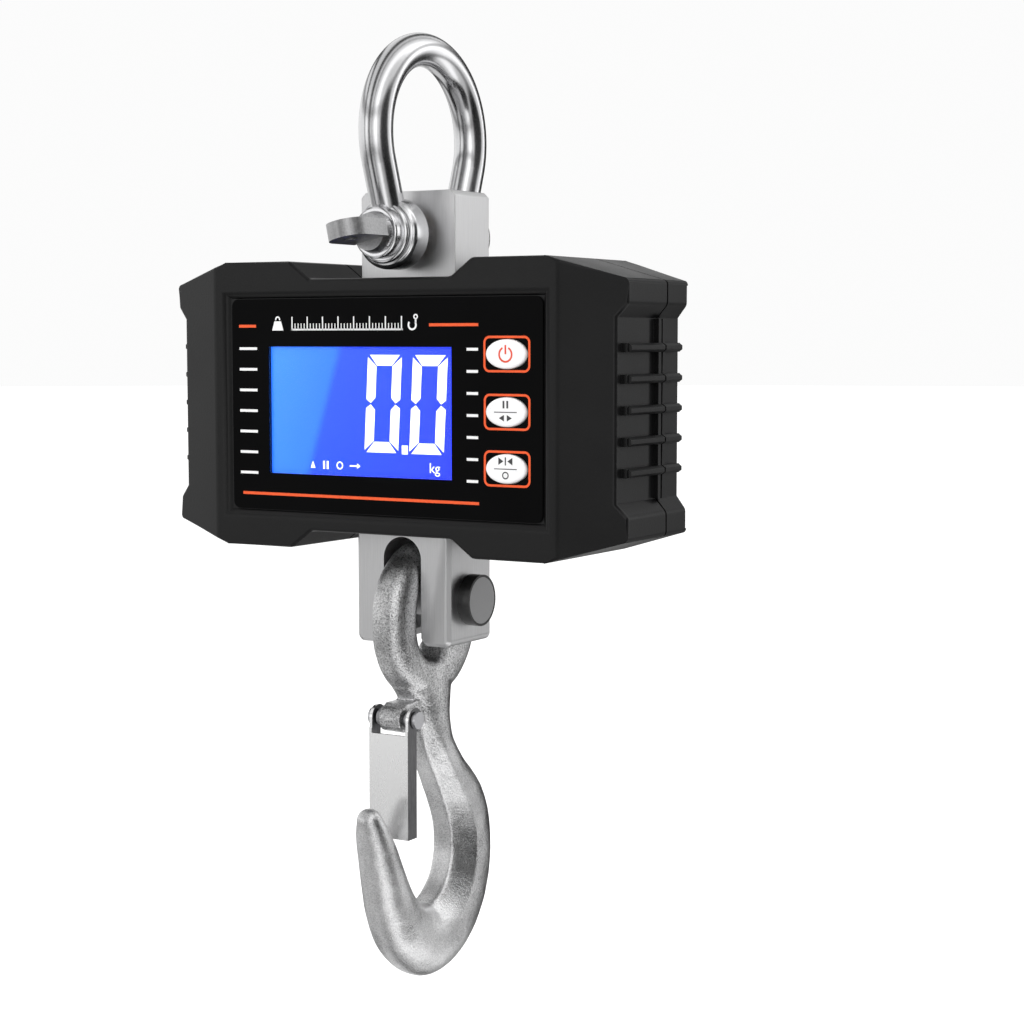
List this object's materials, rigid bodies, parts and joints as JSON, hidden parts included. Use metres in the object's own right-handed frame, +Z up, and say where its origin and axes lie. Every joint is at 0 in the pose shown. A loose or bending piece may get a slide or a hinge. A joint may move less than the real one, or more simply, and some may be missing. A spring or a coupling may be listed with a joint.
{
  "type": "crane scale",
  "caption": "Hanging crane scale: bow shackle on top, load cell through a flat dark housing with a blue display and oval keys, forged eye hook with a spring latch below.",
  "frame": {"origin": "bearing point on the inside of the shackle bow at its crown, where the crane hook carries the scale", "axes": "+Z up against the load, -Y out of the display, +X to the right of someone reading the display"},
  "size_m": [0.1662, 0.0804, 0.3002],
  "materials": {
    "housing": "fine textured dark grey ABS",
    "seal": "soft black",
    "black_trim": "satin black",
    "screw": "black zinc",
    "overlay": "glossy black printed polycarbonate",
    "window": "clear, glossy",
    "lcd": "blue backlit display with white figures",
    "white_plastic": "satin",
    "key": "satin white",
    "board": "green solder mask",
    "block": "fine machined",
    "bronze": "sintered",
    "steel": "turned",
    "zinc": "zinc plated",
    "cell_wrap": "shrink wrap",
    "lead": "PVC insulated",
    "polished": "polished stainless",
    "hook_steel": "forged, galvanised, fine grain",
    "latch_steel": "pressed, bright zinc"
  },
  "bodies": {
    "shackle": {"shackle_bow": "polished", "shackle_pin": "polished"},
    "scale_body": {"front_shell": "housing", "rear_shell": "housing", "shell_seal": "seal", "battery_door": "housing", "charging_jack": "black_trim", "housing_screws": "screw", "door_screws": "screw", "panel_overlay": "overlay", "display_window": "window", "lcd_glass": "lcd", "backlight": "white_plastic", "key_switches": "black_trim", "main_board": "board", "radio_module": "board", "processor_chip": "black_trim", "sounder": "black_trim", "board_screws": "screw", "board_spacers": "screw", "load_cell": "block", "upper_block": "block", "pin_bush": "bronze", "upper_stud": "steel", "lower_fork": "block", "lower_stud": "steel", "hook_pin": "steel", "pin_head_sleeve": "black_trim", "pin_circlip": "steel", "cell_bracket": "zinc", "bracket_screws": "screw", "battery_tray": "white_plastic", "battery_cells": "cell_wrap", "battery_contacts": "zinc", "cell_lead": "lead", "battery_lead": "lead"},
    "power_key": {"key_power": "key"},
    "hold_key": {"key_hold": "key"},
    "tare_key": {"key_tare": "key"},
    "hook_body": {"hook": "hook_steel", "latch_rivet": "zinc"},
    "latch_body": {"latch": "latch_steel", "latch_spring": "steel"}
  },
  "joints": [
    {"name": "shackle_swing", "type": "hinge", "parent": "shackle", "child": "scale_body", "pos_m": [0, 0, -0.05245], "axis": [0, 1, 0], "range_deg": [-75, 75]},
    {"name": "hook_swing", "type": "hinge", "parent": "scale_body", "child": "hook_body", "pos_m": [0, -0.0013, -0.16645], "axis": [1, 0, 0], "range_deg": [-36, 36]},
    {"name": "latch_open", "type": "hinge", "parent": "hook_body", "child": "latch_body", "pos_m": [0, -0.0179, -0.20325], "axis": [1, 0, 0], "range_deg": [0, 35], "stiffness_Nm_per_rad": 0.02, "springref_deg": -34.38},
    {"name": "power_press", "type": "slide", "parent": "scale_body", "child": "power_key", "axis": [0, 1, 0], "range_m": [0, 0.0005], "stiffness_N_per_m": 1500, "springref_m": -0.0004},
    {"name": "hold_press", "type": "slide", "parent": "scale_body", "child": "hold_key", "axis": [0, 1, 0], "range_m": [0, 0.0005], "stiffness_N_per_m": 1500, "springref_m": -0.0004},
    {"name": "tare_press", "type": "slide", "parent": "scale_body", "child": "tare_key", "axis": [0, 1, 0], "range_m": [0, 0.0005], "stiffness_N_per_m": 1500, "springref_m": -0.0004}
  ]
}
